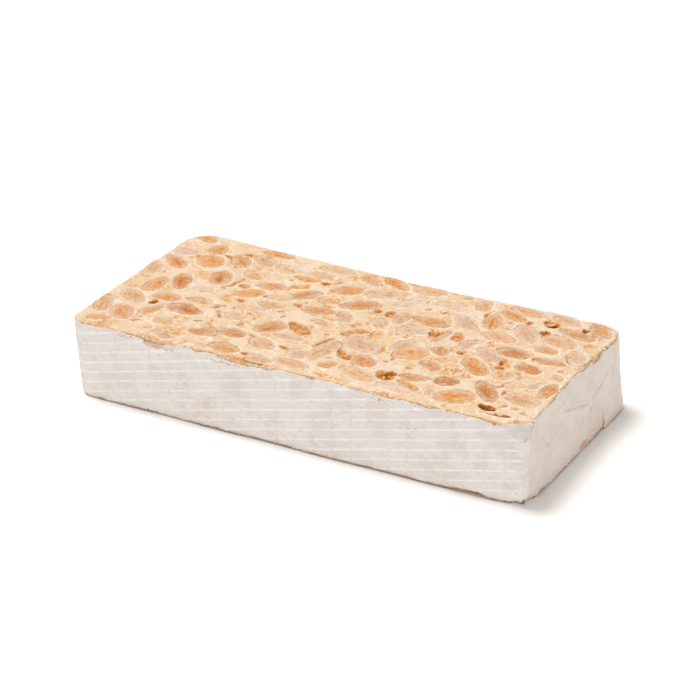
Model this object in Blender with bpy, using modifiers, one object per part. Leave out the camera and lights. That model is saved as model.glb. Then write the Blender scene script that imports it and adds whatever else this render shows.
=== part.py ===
"""A bar of hard almond nougat: a white block sawn level on top, with the almonds cut through,
and sheets of edible wafer on its four sides. It lies on its sawn underside.
Metres, +Z up, +X along the bar. The origin is at the middle of the underside."""

import math
import random

import bmesh
import bpy
from mathutils import Vector

MM = 0.001

# Driving dimensions. All lengths from here down are in millimetres and go through MM at the end.
HEIGHT = 35.4          # from the underside to the sawn top
WAFER = 0.6            # thickness of a wafer sheet
GAP = 0.3              # clearance between pieces that touch
WAFER_FOOT = 0.5       # a sheet ends this far above the floor
TOP_MIDDLE = (-1.5, 0.3)  # where the top's middle lies over the origin, as the foot flares to one end

# Corners of the wafered bar seen from above, measured from the middle of the top. Each has its
# place at the foot and at the top, and its radius at a few heights.
CORNERS = [
    {"foot": (101.0, -47.6), "top": (100.6, -49.4), "radius": [(0, 18), (5, 2.5), (29, 2.5), (HEIGHT, 13)]},
    {"foot": (104.7, 48.3), "top": (103.4, 44.6), "radius": [(0, 6), (HEIGHT, 8)]},
    {"foot": (-98.4, 47.0), "top": (-98.9, 48.3), "radius": [(0, 11), (HEIGHT, 11)]},
    {"foot": (-101.0, -47.3), "top": (-102.5, -49.4), "radius": [(0, 5.5), (5, 4), (HEIGHT, 4)]},
]
# The sides that lead to those corners, front first. A bow is how far the middle of a side stands
# out at the foot and at the top, a wave its unevenness, and steps its columns of faces.
SIDES = [
    {"name": "front", "bow": (0.3, 0.0), "wave": 0.30, "steps": 24},
    {"name": "end_right", "bow": (0.2, -1.8), "wave": 0.25, "steps": 12},
    {"name": "back", "bow": (-0.4, -1.0), "wave": 0.30, "steps": 14},
    {"name": "end_left", "bow": (0.2, 0.4), "wave": 0.20, "steps": 9},
]
CORNER_STEPS = 4
CORNER_SEAM = 0.04            # half the gap between two sheets at a corner, as a share of its arc
WALL_LEVELS = [5, 16, 29]     # heights of the rows of faces that the block and the sheets share
RIM_ROOT = 32.5               # the block's last row of faces below its rim
RIM_WIDTH = 3.5               # the rim may dip, and inside this margin the top is level

# Dips in the rim of the sawn top, as side, place along it (0 to 1), half width and depth.
RIM_DIPS = [
    (0, 0.03, 0.05, 0.8), (0, 0.19, 0.05, 1.5), (0, 0.41, 0.10, 2.0), (0, 0.735, 0.08, 0.9),
    (0, 0.98, 0.06, 0.4), (1, 0.66, 0.18, 0.6), (2, 0.45, 0.30, 0.7), (2, 0.85, 0.10, 0.5),
    (3, 0.12, 0.10, 0.5), (3, 0.59, 0.12, 0.5),
]
# Where nougat has squeezed out over a sheet, as side, place, half width, how far it stands out,
# and how much lower the sheet ends there.
SQUEEZES = [(1, 0.62, 0.05, 0.9, 1.6), (1, 0.90, 0.14, 0.7, 2.6)]
# Chips out of a sheet's lower and upper edge, as side, place, half width and depth.
FOOT_CHIPS = [
    (0, 0.94, 0.05, 1.8), (0, 0.35, 0.03, 0.5), (1, 0.02, 0.07, 1.6), (1, 0.63, 0.05, 1.9),
    (1, 0.82, 0.09, 1.5), (2, 0.30, 0.05, 1.2), (3, 0.55, 0.06, 1.4),
]
TOP_CHIPS = [(0, 0.215, 0.035, 2.8), (2, 0.62, 0.04, 1.6), (3, 0.22, 0.05, 1.8)]

# A flap of wafer folded round the far right corner, over both sheets there. Its ends are stations
# of wall_point, and its heights are those of its upper edge at the two ends.
FLAP = {"ends": (2.80, 4.12), "heights": (15.0, 12.5), "levels": [4, 8]}

# The almonds in the sawn face, from the top's middle: x, y, length, width, the turn of the long
# axis in degrees, and how pointed the end is that the turn faces.
ALMONDS = [
    (-90, 43, 10, 6.5, -25, 0), (-80.5, 35.5, 10.5, 8, 80, 0.1), (-78, 24, 13, 11.5, -30, 0),
    (-66, 29.5, 13, 8, -50, 0.1), (-55, 42.5, 15, 5.5, 0, 0.1), (-91, 17.5, 14.5, 7.5, 145, 0.2),
    (-96.8, 7.8, 12, 6.5, -65, 0), (-79, 1.5, 15.5, 8, -70, 0.2), (-87.2, -6, 15, 7.5, 85, 0.1),
    (-66, 12, 14.5, 9.5, -70, 0), (-77, -14, 12.5, 7.5, 190, 0.2), (-64, -20.5, 16.5, 8.5, -5, 0.2),
    (-90, -19.5, 15.5, 8.5, -30, 0.1), (-97.3, -30.5, 16, 7, -75, 0), (-86.5, -34, 13.5, 9.5, -50, 0),
    (-25, 41, 16, 6.5, 0, 0.1), (-8.5, 38.5, 12, 7, -40, 0), (3.2, 40.2, 15.5, 6.5, -30, 0.1),
    (-13, 25, 14.5, 8.5, 205, 0.1), (-43, 14, 13.5, 6.5, 190, 0.2),
    (-26, 14, 13.5, 7.5, 45, 0.1), (-2, 15, 18, 9, 210, 0.2), (-48, 4, 13.5, 7.5, 210, 0.1),
    (-14, 2.5, 14, 6.5, 18, 0.1), (-25.5, -19, 14.5, 9, 230, 0.3), (-36.5, -30, 12.5, 7.5, 180, 0.1),
    (-48, -35, 11.5, 6.5, 200, 0.3), (-21, -33, 12.5, 7.5, -20, 0.1), (-33, -43.2, 13.5, 7, 0, 0),
    (-3, -42.8, 15, 5.5, 0, 0.1), (18.5, 40.2, 15, 8.5, 5, 0), (53, 26, 13.5, 7.5, -75, 0),
    (31, 15, 16.5, 7.5, 180, 0.1), (35.5, -14.2, 14, 10, 35, -0.1), (14, -16, 17, 10, -20, 0.1),
    (21.5, -28, 11.5, 7.5, 160, 0.1), (3.2, -27.3, 18.5, 8, 75, 0), (24, -38.5, 17, 8, 165, 0.2),
    (42, -42.5, 15.5, 5.5, 175, 0.2), (63.5, 41, 17, 6.5, -8, 0.1), (80, 40.2, 13, 6.5, -15, 0),
    (95, 38.2, 14, 7.5, -50, 0), (88, 31, 17, 6.5, 170, 0.1), (69.5, 22.3, 16, 9, -55, 0),
    (84, 22, 15.5, 8.5, -15, 0), (61, 14.5, 14, 7.5, 0, 0.1), (95.5, 12, 12.5, 7, -70, 0),
    (71.5, 5, 14.5, 8, 0, 0), (63, -1.2, 14, 7, -40, 0), (62.5, -12.3, 17, 8.5, -40, 0),
    (96, -18, 13.5, 5.8, 85, 0), (75, -29, 17, 7.5, 130, 0.1), (90, -29, 15.5, 8.5, -10, 0),
    (65.5, -38.2, 16.5, 11.5, 210, 0.2),
]
ALMOND_SIDES = 12
ALMOND_DEPTH = 0.42      # how deep a cut almond reaches, as a share of its width
SAW_UNEVEN = 0.25        # the cut faces lie this far above or below the nougat at most
CUTTER_RISE = 2.5        # how far a pocket's cutter stands above the cut face
# Holes and pits in the sawn face, as x, y, length, width, turn and depth.
CAVITIES = [
    (80, -40.6, 5.5, 2.8, -15, 3.5), (-79.5, -20.8, 2.8, 1.6, 60, 2.5), (-14, -14.5, 10.5, 4.5, -30, 2.4),
    (12, -26.8, 6.5, 3.5, -35, 2.6), (34, -34, 8.5, 3.6, -50, 2.2), (75, 34.8, 5, 3.4, -20, 1.8),
]


def along(low, high, share):
    return low + (high - low) * share


def at_height(table, height):
    """The value of a (height, value) table at this height, straight between its rows."""
    for (z0, v0), (z1, v1) in zip(table, table[1:]):
        if height <= z1:
            return along(v0, v1, (height - z0) / (z1 - z0))
    return table[-1][1]


def swell(place, middle, half_width):
    """A smooth bump, 1 at the middle and 0 from half_width away."""
    away = abs(place - middle) / half_width
    return 0.5 + 0.5 * math.cos(math.pi * away) if away < 1 else 0.0


def marked(marks, station, value=3):
    """How far the marks of one list reach at this station: the largest of its swells."""
    side, place = divmod(station % 8 / 2, 1)
    place = min(place * 2, 1.0)
    reach = [mark[value] * swell(place, mark[1], mark[2]) for mark in marks if mark[0] == side]
    return max(reach, default=0.0)


def corner_arc(index, height):
    """Where a corner's arc starts and ends, and its middle, on the outline at this height."""
    def place(k):
        corner = CORNERS[k % 4]
        share = height / HEIGHT
        return Vector((along(corner["foot"][0], corner["top"][0], share),
                       along(corner["foot"][1], corner["top"][1], share)))

    here, before, after = place(index), place(index - 1), place(index + 1)
    to_before, to_after = (before - here).normalized(), (after - here).normalized()
    half_angle = to_before.angle(to_after) / 2
    radius = at_height(CORNERS[index % 4]["radius"], height)
    start = here + to_before * radius / math.tan(half_angle)
    end = here + to_after * radius / math.tan(half_angle)
    middle = here + (to_before + to_after).normalized() * radius / math.sin(half_angle)
    return start, end, middle, radius


def wall_point(station, height, outward):
    """A point of the wafered outline moved outward. Station 0 to 1 is the front side, 1 to 2 the
    corner after it, 2 to 3 the right end and so on, anticlockwise, up to 8."""
    leg, share = divmod(station % 8, 1)
    index = int(leg) // 2
    start, end, middle, radius = corner_arc(index, height)
    if leg % 2 == 0:
        side = SIDES[index]
        before = corner_arc(index - 1, height)[1]
        direction = (start - before).normalized()
        normal = Vector((direction.y, -direction.x))
        bow = along(*side["bow"], height / HEIGHT) * math.sin(math.pi * share)
        wave = side["wave"] * math.sin(math.pi * share) * math.sin(23 * share + 5 * index + height / 9)
        return before.lerp(start, share) + normal * (bow + wave + outward)
    first = math.atan2(*(start - middle).yx)
    turn = (math.atan2(*(end - middle).yx) - first) % (2 * math.pi)
    angle = first + turn * share
    return middle + Vector((math.cos(angle), math.sin(angle))) * (radius + outward)


def stations(first, last):
    """The stations from first to last where the walls have a column of vertices."""
    found = []
    for leg in range(8):
        steps = SIDES[leg // 2]["steps"] if leg % 2 == 0 else CORNER_STEPS
        found += [leg + k / steps for k in range(steps)]
    inner = [s + turn for turn in (-8, 0) for s in found if first < s + turn < last]
    return [first, *inner, last]


def rim_height(station):
    return HEIGHT - marked(RIM_DIPS, station)


def in_metres(point, height):
    return (point[0] * MM, point[1] * MM, height * MM)


def new_object(name, bm, material, collection, parent):
    mesh = bpy.data.meshes.new(name)
    bm.to_mesh(mesh)
    bm.free()
    piece = bpy.data.objects.new(name, mesh)
    if material:
        mesh.materials.append(material)
    collection.objects.link(piece)
    piece.parent = parent
    return piece


def skin_rows(bm, rows, closed):
    """Quads between rows of vertices, from the lowest row up, facing outward."""
    for low, high in zip(rows, rows[1:]):
        places = range(len(low)) if closed else range(len(low) - 1)
        for k in places:
            after = (k + 1) % len(low)
            bm.faces.new((low[k], low[after], high[after], high[k]))


def make_block(material, collection, parent):
    """The nougat itself: a loft from the foot outline to the rim, and a level sawn top."""
    around = stations(0, 8)[:-1]
    inset = -(WAFER + GAP)
    bm = bmesh.new()
    rows = []
    for level in [0, *WALL_LEVELS, RIM_ROOT]:
        points = [wall_point(s, level, inset) for s in around]
        rows.append([bm.verts.new(in_metres(p, level)) for p in points])
    rim = []
    for s in around:
        out = inset + marked(SQUEEZES, s)
        rim.append(bm.verts.new(in_metres(wall_point(s, HEIGHT, out), rim_height(s))))
    level_top = [bm.verts.new(in_metres(wall_point(s, HEIGHT, inset - RIM_WIDTH), HEIGHT)) for s in around]
    rows += [rim, level_top]
    skin_rows(bm, rows, closed=True)
    bm.faces.new(level_top)
    bm.faces.new(reversed(rows[0]))
    return new_object("nougat_block", bm, material, collection, parent)


def make_sheet(name, ends, heights, inner, material, collection, parent):
    """A wafer sheet as an open surface between two stations, thickened outward by Solidify. The
    function heights gives a station's rows, and inner is how far out the inner face lies."""
    bm = bmesh.new()
    columns = []
    for s in stations(*ends):
        columns.append([bm.verts.new(in_metres(wall_point(s, z, inner), z)) for z in heights(s)])
    skin_rows(bm, list(zip(*columns)), closed=False)
    sheet = new_object(name, bm, material, collection, parent)
    thicken = sheet.modifiers.new("Wafer", "SOLIDIFY")
    thicken.thickness = WAFER * MM
    thicken.offset = 1


def side_heights(station):
    """The rows of a side's sheet: its chipped foot, the levels on the wall, and its upper edge."""
    foot = WAFER_FOOT + marked(FOOT_CHIPS, station)
    lowered = max(marked(SQUEEZES, station, value=4), marked(TOP_CHIPS, station))
    return [foot, *WALL_LEVELS, rim_height(station) - lowered - GAP]


def flap_heights(station):
    first, last = FLAP["ends"]
    top = along(*FLAP["heights"], (station - first) / (last - first))
    return [WAFER_FOOT, *FLAP["levels"], top]


def make_wafers(material, collection, parent):
    """Four sheets that meet in the middle of the corners, and the flap at the far right one."""
    for index, side in enumerate(SIDES):
        ends = 2 * index - 0.5 + CORNER_SEAM, 2 * index + 1.5 - CORNER_SEAM
        make_sheet("wafer_" + side["name"], ends, side_heights, -WAFER, material, collection, parent)
    make_sheet("wafer_flap", FLAP["ends"], flap_heights, GAP, material, collection, parent)


def kernel_mesh(length, width, depth, point, grow=0.0, cutter=False):
    """The part of an almond below the saw cut, its long axis along X and the cut face at 0. A
    cutter has the same outline, larger by grow, and stands up through the cut."""
    bm = bmesh.new()
    bmesh.ops.create_uvsphere(bm, u_segments=ALMOND_SIDES, v_segments=4, radius=1)
    for vert in bm.verts:
        x, y, z = vert.co
        around = math.hypot(x, y)
        if z > 0.1 and around > 0.1:   # a cutter's walls run straight up
            x, y = x / around, y / around
        plump = 1 - point * x
        rise = CUTTER_RISE if z > 0 else depth + grow
        vert.co = Vector((x * (length / 2 + grow), y * plump * (width / 2 + grow), z * rise)) * MM
    if not cutter:
        everything = bm.verts[:] + bm.edges[:] + bm.faces[:]
        bmesh.ops.bisect_plane(bm, geom=everything, dist=1e-7, plane_co=(0, 0, 0), plane_no=(0, 0, 1),
                               clear_outer=True)
        bmesh.ops.holes_fill(bm, edges=[e for e in bm.edges if e.is_boundary])
    bmesh.ops.recalc_face_normals(bm, faces=bm.faces)
    return bm


def place(piece, x, y, z, turn):
    piece.location = (x * MM, y * MM, z * MM)
    piece.rotation_euler.z = math.radians(turn)


def add_cutter(name, shape, x, y, z, turn, cutters, parent):
    cutter = new_object(name, shape, None, cutters, parent)
    place(cutter, x, y, z, turn)
    cutter.hide_render = True
    cutter.display_type = "WIRE"


def make_almonds(material, collection, cutters, parent):
    rng = random.Random(7)
    for number, (x, y, length, width, turn, point) in enumerate(ALMONDS, 1):
        depth = width * ALMOND_DEPTH * rng.uniform(0.8, 1.2)
        face = HEIGHT + rng.uniform(-SAW_UNEVEN, SAW_UNEVEN)
        name = f"almond_{number:02d}"
        shape = kernel_mesh(length, width, depth, point)
        place(new_object(name, shape, material, collection, parent), x, y, face, turn)
        room = kernel_mesh(length, width, depth, point, grow=GAP, cutter=True)
        add_cutter(f"pocket_{number:02d}", room, x, y, face, turn, cutters, parent)


def make_cavities(cutters, parent):
    for number, (x, y, length, width, turn, depth) in enumerate(CAVITIES, 1):
        shape = kernel_mesh(length, width, depth, 0, cutter=True)
        add_cutter(f"cavity_{number}", shape, x, y, HEIGHT, turn, cutters, parent)


def cut_block(block, cutters):
    pockets = block.modifiers.new("Pockets", "BOOLEAN")
    pockets.operation = "DIFFERENCE"
    pockets.solver = "EXACT"
    pockets.operand_type = "COLLECTION"
    pockets.collection = cutters


def food_material(name, colour, roughness):
    material = bpy.data.materials.new(name)
    material.use_nodes = True
    shader = material.node_tree.nodes["Principled BSDF"]
    shader.inputs["Base Color"].default_value = (*colour, 1)
    shader.inputs["Roughness"].default_value = roughness
    shader.inputs["Metallic"].default_value = 0
    return material


def new_collection(name):
    made = bpy.data.collections.new(name)
    bpy.context.scene.collection.children.link(made)
    return made


def main():
    for old in list(bpy.data.objects):
        bpy.data.objects.remove(old)
    pieces, cutters = new_collection("nougat_bar"), new_collection("cutters")
    middle = bpy.data.objects.new("top_middle", None)
    middle.location = (TOP_MIDDLE[0] * MM, TOP_MIDDLE[1] * MM, 0)
    pieces.objects.link(middle)

    nougat = food_material("nougat", (0.84, 0.66, 0.44), 0.55)
    wafer = food_material("edible wafer", (0.80, 0.73, 0.66), 0.75)
    almond = food_material("toasted almond", (0.72, 0.38, 0.17), 0.6)

    block = make_block(nougat, pieces, middle)
    make_wafers(wafer, pieces, middle)
    make_almonds(almond, pieces, cutters, middle)
    make_cavities(cutters, middle)
    cut_block(block, cutters)


main()
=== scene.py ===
import math

import bpy
import numpy as np
from mathutils import Matrix, Vector
from mathutils.bvhtree import BVHTree


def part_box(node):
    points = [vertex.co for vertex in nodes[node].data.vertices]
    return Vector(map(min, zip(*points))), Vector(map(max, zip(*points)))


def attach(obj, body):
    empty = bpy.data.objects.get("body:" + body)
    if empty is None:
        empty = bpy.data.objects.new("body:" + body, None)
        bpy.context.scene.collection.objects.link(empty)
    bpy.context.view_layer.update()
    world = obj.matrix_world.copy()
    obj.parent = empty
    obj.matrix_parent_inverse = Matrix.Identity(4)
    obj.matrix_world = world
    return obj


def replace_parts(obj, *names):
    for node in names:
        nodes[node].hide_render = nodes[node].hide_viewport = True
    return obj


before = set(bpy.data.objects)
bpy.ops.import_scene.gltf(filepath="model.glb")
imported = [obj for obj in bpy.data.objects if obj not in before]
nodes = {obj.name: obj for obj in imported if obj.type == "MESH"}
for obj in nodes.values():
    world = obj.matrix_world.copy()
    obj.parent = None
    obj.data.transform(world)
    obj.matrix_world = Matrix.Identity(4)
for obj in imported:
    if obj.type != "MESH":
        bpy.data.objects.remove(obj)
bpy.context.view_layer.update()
mm = 0.001  # every length below is in millimetres unless it says otherwise
topZ = max(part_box(name)[1].z for name in nodes if name.startswith("nougat")) / mm
topMiddle = (-1.5, 0.3)  # the middle of the sawn top, seen from the origin
print("frame loaded, sawn top at", round(topZ, 2), "mm")


def ease(low, high, value):
    share = np.clip((value - low) / (high - low), 0, 1)
    return share * share * (3 - 2 * share)


def softNoise(x, y, size, seed):
    # lumps about this size, from -1 to 1
    lattice = np.random.default_rng(seed).uniform(-1, 1, (256, 256))
    u, v = np.asarray(x, float) / size + 40.3, np.asarray(y, float) / size + 70.1
    i, j = np.floor(u).astype(int), np.floor(v).astype(int)
    fu, fv = ease(0, 1, u - i), ease(0, 1, v - j)

    def corner(di, dj):
        return lattice[(i + di) % 256, (j + dj) % 256]

    low = corner(0, 0) * (1 - fu) + corner(1, 0) * fu
    high = corner(0, 1) * (1 - fu) + corner(1, 1) * fu
    return low * (1 - fv) + high * fv


def bell(distance, width):
    return np.exp(-(distance / width) ** 2)


def smoothed(values, width, axis, closed):
    # running average with soft ends, the width in samples
    reach = int(3 * width) + 1
    weights = bell(np.arange(-reach, reach + 1), width * math.sqrt(2))
    pads = [(reach, reach) if k == axis else (0, 0) for k in range(values.ndim)]
    padded = np.pad(values, pads, "wrap" if closed else "edge")
    count = values.shape[axis]
    total = sum(w * np.take(padded, range(k, k + count), axis=axis) for k, w in enumerate(weights))
    return total / weights.sum()


def lineAway(x, y, points):
    # how far places lie from a broken line, and how far along it they are
    best, along = np.full(np.shape(x), 99.0), np.zeros(np.shape(x))
    for k, ((x0, y0), (x1, y1)) in enumerate(zip(points, points[1:])):
        share = np.clip(((x - x0) * (x1 - x0) + (y - y0) * (y1 - y0)) / ((x1 - x0) ** 2 + (y1 - y0) ** 2), 0, 1)
        away = np.hypot(x - x0 - (x1 - x0) * share, y - y0 - (y1 - y0) * share)
        along = np.where(away < best, (k + share) / (len(points) - 1), along)
        best = np.minimum(best, away)
    return best, along


def gridFaces(ids):
    # quads over a grid of vertex numbers, facing up where the first index runs along X
    corners = ids[:-1, :-1], ids[1:, :-1], ids[1:, 1:], ids[:-1, 1:]
    return np.stack([c.ravel() for c in corners], 1).tolist()


def stitch(lineA, lineB):
    # triangles between two rows of vertices that need not have the same count
    faces, i, j = [], 0, 0
    lastA, lastB = len(lineA) - 1, len(lineB) - 1
    while i < lastA or j < lastB:
        if j < lastB and (i == lastA or (j + 1) / lastB <= (i + 1) / lastA):
            faces.append((lineA[i], lineB[j], lineB[j + 1]))
            j += 1
        else:
            faces.append((lineA[i], lineB[j], lineA[i + 1]))
            i += 1
    return faces


def newPiece(name, points, faces, material, masks=None):
    # masks hold one number, three or four for each vertex
    mesh = bpy.data.meshes.new(name)
    mesh.from_pydata((np.asarray(points, float) * mm).tolist(), [], faces)
    mesh.materials.append(material)
    mesh.polygons.foreach_set("use_smooth", [True] * len(mesh.polygons))
    for mask, values in (masks or {}).items():
        values = np.asarray(values, np.float32)
        kind, field = {1: ("FLOAT", "value"), 3: ("FLOAT_VECTOR", "vector"),
                       4: ("FLOAT_COLOR", "color")}[values.size // len(points)]
        mesh.attributes.new(mask, kind, "POINT").data.foreach_set(field, values.ravel())
    mesh.validate()
    piece = bpy.data.objects.new(name, mesh)
    bpy.context.scene.collection.objects.link(piece)
    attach(piece, "root")
    return piece


def linear(code):
    # an sRGB hex value as linear RGBA
    parts = [int(code[k:k + 2], 16) / 255 for k in (0, 2, 4)]
    return [p / 12.92 if p <= 0.04045 else ((p + 0.055) / 1.055) ** 2.4 for p in parts] + [1.0]


def addNode(tree, kind, settings=None, links=None):
    node = tree.nodes.new("ShaderNode" + kind)
    for name, value in (settings or {}).items():
        setattr(node, name, value)
    for socket, value in (links or {}).items():
        if isinstance(value, bpy.types.NodeSocket):
            tree.links.new(value, node.inputs[socket])
        else:
            node.inputs[socket].default_value = value
    return node


# Nougat: hard white nougat of honey, sugar and egg white, sawn through. A dense satin cream,
# whiter where the saw has pulled a lip, with painted highlight on the lips' lit side and the tops of torn
# ridges, tan and crumbly where it has torn, and painted golden shade in the pits, the low places and the cracks.
nougatFinish = {
    "name": "hard nougat, sawn", "base": "e6c8a2", "roughness": 0.6, "ior": 1.45, "shine": 0.2,
    "grain": 0.45, "grainDepth": 0.18,   # mm; the real grain is finer, about 0.1
    "glow": (0.12, (1.0, 0.6, 0.3), 1.5),
    "layers": [
        {"tint": "eedcc4", "size": 12.0, "from": 0.44, "to": 0.58, "most": 0.6},
        {"tint": "d9a870", "size": 5.0, "from": 0.50, "to": 0.66, "most": 0.35},
        {"tint": "f2e2c6", "size": 1.8, "from": 0.50, "to": 0.66, "most": 0.25},
        {"tint": "dba670", "mask": "halo", "size": 2.4, "from": 0.48, "to": 0.60, "most": 0.45},
        {"tint": "d4934c", "size": 0.6, "from": 0.55, "to": 0.66, "most": 0.12},
        {"tint": "fdf6ea", "size": 0.7, "from": 0.54, "to": 0.66, "most": 0.15},
        {"tint": "e0a650", "mask": "crumb", "size": 2.2, "from": 0.42, "to": 0.54, "most": 0.75},
        # painted shade: golden brown where the top lies below its level
        {"tint": "d48220", "mask": "low", "size": 1.2, "from": 0.34, "to": 0.50, "most": 0.85},
        {"tint": "da8e22", "mask": "crumb", "size": 0.9, "from": 0.50, "to": 0.58, "most": 0.85},
        {"tint": "fbeccc", "mask": "crumb", "size": 0.8, "from": 0.54, "to": 0.60, "most": 0.65},
        # pale lips, whiter on their lit side and on the tops of torn ridges as painted highlight
        {"tint": "fdf6e8", "mask": "pale_lip_and_highlight", "size": 1.4, "from": 0.32, "to": 0.52, "most": 0.95},
        # painted shade in the pits: golden with light and dark specks, and dark brown at the bottom of the deep ones;
        # tan crumbs share the golden mask
        {"tint": "d27a12", "mask": "gold_and_pit_shade", "most": 0.95},
        {"tint": "eec47e", "mask": "gold_and_pit_shade", "size": 0.8, "from": 0.53, "to": 0.60, "most": 0.7},
        {"tint": "a34e08", "mask": "gold_and_pit_shade", "size": 0.7, "from": 0.53, "to": 0.59, "most": 0.8},
        {"tint": "904600", "mask": "hole", "most": 1.0},
        # painted shade: dark golden brown in the gaps beside the almonds and in the creases
        {"tint": "b06414", "mask": "crack_and_shade", "most": 0.9},
    ],
}
# Almond: peeled and roasted, cut through by the saw. Dry and matt, orange at the heart, with a
# dusty pinkish edge and darker pores drawn out along the kernel, and painted shade on its flanks,
# in its split and along the edge beside the gap.
almondFinish = {
    "name": "roasted almond, cut", "roughness": 0.65, "ior": 1.46, "shine": 0.2, "stretch": 2.4,
    "grain": 0.5, "grainDepth": 0.28,
    "glow": (0.08, (1.0, 0.5, 0.25), 1.2),
    "layers": [
        {"tint": "d67612", "mask": "heart", "size": 3.0, "from": 0.42, "to": 0.58, "most": 0.85},
        {"tint": "c0762c", "size": 1.4, "from": 0.50, "to": 0.64, "most": 0.65},
        {"tint": "f6dcba", "size": 0.8, "from": 0.50, "to": 0.64, "most": 0.5},
        {"tint": "f0dfd2", "mask": "dust", "size": 0.5, "from": 0.38, "to": 0.62, "most": 0.8},
        {"tint": "a5662a", "size": 0.4, "from": 0.54, "to": 0.72, "most": 0.6},
        {"tint": "f4dcb4", "mask": "rim", "most": 0.8},
        # painted shade on the almond's flanks, in its split and along the edge that faces the gap
        {"tint": "b46a1c", "mask": "side", "most": 0.9},
    ],
}
# Wafer: edible rice-starch paper, baked between engraved plates. Chalk white and matt, with thin
# raised lines painted white as highlight, stained tan where nougat has soaked through, brown along
# the foot, and painted shade on the plain end sheets, the folded corner facet and high under the rim.
waferFinish = {
    "name": "edible wafer paper, embossed", "base": "f5efe9", "roughness": 0.8, "ior": 1.42, "shine": 0.4,
    "grain": 0.5, "grainDepth": 0.06,
    "layers": [
        # painted shade: the plain end sheets and the flap are tinted darker and warmer
        {"tint": "efe0d4", "mask": "plain_sheet_painted_shade", "most": 0.6},
        {"tint": "e2d8d0", "size": 9.0, "from": 0.42, "to": 0.64, "most": 0.5},
        {"tint": "faf6f2", "size": 1.6, "from": 0.48, "to": 0.70, "most": 0.5},
        {"tint": "dccaba", "size": 1.6, "from": 0.50, "to": 0.76, "most": 0.5},
        {"tint": "cdb6a2", "size": 0.6, "from": 0.58, "to": 0.72, "most": 0.35},
        # painted highlight: the raised lines are painted white as if catching the light; the same white marks a tab at
        # the near right foot
        {"tint": "ffffff", "mask": "ridge_and_highlight", "most": 1.0},
        {"tint": "cfae8a", "mask": "fleck", "size": 0.7, "from": 0.40, "to": 0.62, "most": 0.5},
        {"tint": "d39f66", "mask": "stain", "size": 0.7, "from": 0.47, "to": 0.58, "most": 0.8},
        {"tint": "bfb0a2", "mask": "bruise", "size": 2.5, "from": 0.34, "to": 0.56, "most": 0.55},
        # painted shade on the folded corner facet
        {"tint": "cdc4bb", "mask": "fold_and_painted_shade", "size": 3.0, "from": 0.2, "to": 0.6, "most": 0.6},
        # tan creases and patches; the patch high on the end sheets under the rim, at 18.5, is painted shade
        {"tint": "cf9a68", "mask": "crease_tan_and_shade", "most": 0.5},
        # brown along the foot of each sheet
        {"tint": "a06c3c", "mask": "brown_foot_edge", "most": 0.8},
    ],
}


def makeMaterial(look):
    material = bpy.data.materials.new(look["name"])
    material.use_nodes = True
    tree = material.node_tree
    tree.nodes.clear()
    if "base" in look:
        colour = linear(look["base"])
        spot = addNode(tree, "TexCoord").outputs["Object"]
    else:   # an almond brings its own colour and grain direction
        colour = addNode(tree, "Attribute", {"attribute_name": "flesh"}).outputs["Color"]
        kernel = addNode(tree, "Attribute", {"attribute_name": "kernel"}).outputs["Vector"]
        spot = addNode(tree, "Mapping", {}, {"Vector": kernel, "Scale": (1 / look["stretch"], 1, 1)}).outputs[0]
    for layer in look["layers"]:
        share = layer["most"]
        if "size" in layer:
            lumps = addNode(tree, "TexNoise", {}, {"Vector": spot, "Scale": 1 / (layer["size"] * mm),
                                                   "Detail": 3.0, "Roughness": 0.6})
            share = addNode(tree, "MapRange", {"interpolation_type": "SMOOTHSTEP"},
                            {"Value": lumps.outputs["Fac"], "From Min": layer["from"], "From Max": layer["to"],
                             "To Max": layer["most"]}).outputs["Result"]
        if "mask" in layer:
            mask = addNode(tree, "Attribute", {"attribute_name": layer["mask"]})
            share = addNode(tree, "Math", {"operation": "MULTIPLY"}, {0: share, 1: mask.outputs["Fac"]}).outputs[0]
        colour = addNode(tree, "Mix", {"data_type": "RGBA"}, {0: share, 6: colour, 7: linear(layer["tint"])}).outputs[2]
    grain = addNode(tree, "TexNoise", {}, {"Vector": spot, "Scale": 1 / (look["grain"] * mm), "Detail": 4.0,
                                           "Roughness": 0.65})
    bump = addNode(tree, "Bump", {}, {"Height": grain.outputs["Fac"], "Strength": 0.8,
                                      "Distance": look["grainDepth"] * mm})
    shader = addNode(tree, "BsdfPrincipled", {"subsurface_method": "RANDOM_WALK"},
                     {"Base Color": colour, "Roughness": look["roughness"], "IOR": look["ior"],
                      "Specular IOR Level": look["shine"], "Normal": bump.outputs[0]})
    if "glow" in look:   # light that soaks in
        weight, radius, scale = look["glow"]
        shader.inputs["Subsurface Weight"].default_value = weight
        shader.inputs["Subsurface Radius"].default_value = radius
        shader.inputs["Subsurface Scale"].default_value = scale * mm
    addNode(tree, "OutputMaterial", {}, {"Surface": shader.outputs[0]})
    return material


nougatMaterial = makeMaterial(nougatFinish)
almondMaterial = makeMaterial(almondFinish)
waferMaterial = makeMaterial(waferFinish)
print("materials made")

# Walls are measured outward from a rectangle inside the bar. A "run" is the way round it in mm,
# anticlockwise from the front left, and each corner turns on the spot.
inner = {"left": -90.0, "right": 91.0, "front": -37.0, "back": 34.0, "turn": 19.0}
cornerSpots = np.array([(inner[x], inner[y]) for y, x in
                        (("front", "left"), ("front", "right"), ("back", "right"), ("back", "left"))])
legStart = cornerSpots[[0, 1, 1, 2, 2, 3, 3, 0]]
legEnd = np.roll(legStart, -1, axis=0)
legLength = np.where(np.arange(8) % 2 == 1, inner["turn"], np.hypot(*(legEnd - legStart).T))
legFrom = np.concatenate([[0], np.cumsum(legLength)])
wholeRun = legFrom[-1]
endStart, frontStart = legFrom[2] - inner["front"] + topMiddle[1], topMiddle[0] - inner["left"]   # beside the middle
cornerRun = legFrom[1:8:2] + inner["turn"] / 2   # near right, far right, far left, near left


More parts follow.
